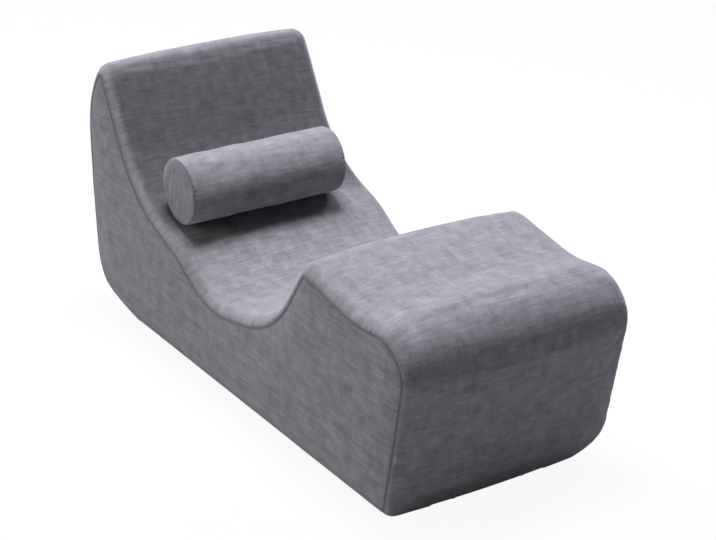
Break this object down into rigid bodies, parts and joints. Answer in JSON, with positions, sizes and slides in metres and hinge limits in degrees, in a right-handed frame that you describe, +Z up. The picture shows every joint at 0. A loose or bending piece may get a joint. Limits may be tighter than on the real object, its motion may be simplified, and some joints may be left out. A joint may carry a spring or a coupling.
{
  "type": "chaise longue",
  "caption": "Low upholstered chaise longue in one sculpted piece, with raked backrest, hollow seat, raised leg rest and a loose round bolster.",
  "frame": {"origin": "on the floor under the middle of the body", "axes": "+X from the backrest to the foot end, +Y across the seat to its left side, +Z up"},
  "size_m": [1.6941, 0.68, 0.7943],
  "materials": {
    "cover_velvet": "short-pile grey velvet laminated to fibre fleece",
    "base_cloth": "black non-woven dust cloth",
    "foam": "open-cell cushion foam",
    "plywood": "unfinished birch plywood",
    "rail_timber": "planed softwood",
    "glide_plastic": "moulded black polyethylene",
    "zip_tape": "woven grey zip tape",
    "zip_teeth": "grey nylon coil",
    "zip_metal": "plated die-cast metal"
  },
  "bodies": {
    "chaise": {"cover_top_panel": "cover_velvet", "cover_side_right": "cover_velvet", "cover_side_left": "cover_velvet", "cover_base_cloth": "base_cloth", "foam_rear": "foam", "foam_backrest": "foam", "foam_seat": "foam", "foam_legrest": "foam", "foam_foot": "foam", "foam_side_right": "foam", "foam_side_left": "foam", "base_board": "plywood", "plinth_rail_right": "rail_timber", "plinth_rail_left": "rail_timber", "side_plate_right": "plywood", "side_plate_left": "plywood", "centre_rib": "plywood", "rail_head": "rail_timber", "rail_backrest": "rail_timber", "rail_lumbar": "rail_timber", "rail_seat_rear": "rail_timber", "rail_seat_front": "rail_timber", "rail_knee": "rail_timber", "rail_legrest": "rail_timber", "rail_rear": "rail_timber", "rail_foot": "rail_timber", "rail_heel": "rail_timber", "rail_toe": "rail_timber", "board_rear": "plywood", "deck_backrest": "plywood", "deck_seat": "plywood", "deck_legrest": "plywood", "board_foot": "plywood", "floor_glides": "glide_plastic"},
    "bolster": {"bolster_core": "foam", "bolster_cover_tube": "cover_velvet", "bolster_end_right": "cover_velvet", "bolster_end_left": "cover_velvet", "bolster_zip_tape": "zip_tape", "bolster_zip_teeth": "zip_teeth"},
    "zip_slider": {"bolster_zip_slider": "zip_metal"},
    "zip_puller": {"bolster_zip_puller": "zip_metal"}
  },
  "joints": [
    {"name": "bolster_lift", "type": "slide", "parent": "chaise", "child": "bolster", "axis": [0.3089, 0, 0.9511], "range_m": [0, 0.3]},
    {"name": "zip_slide", "type": "slide", "parent": "bolster", "child": "zip_slider", "axis": [0, 1, 0], "range_m": [0, 0.36]},
    {"name": "puller_pivot", "type": "hinge", "parent": "zip_slider", "child": "zip_puller", "pos_m": [-0.44023, -0.242, 0.49694], "axis": [-0.1736, 0, 0.9848], "range_deg": [0, 90]}
  ]
}
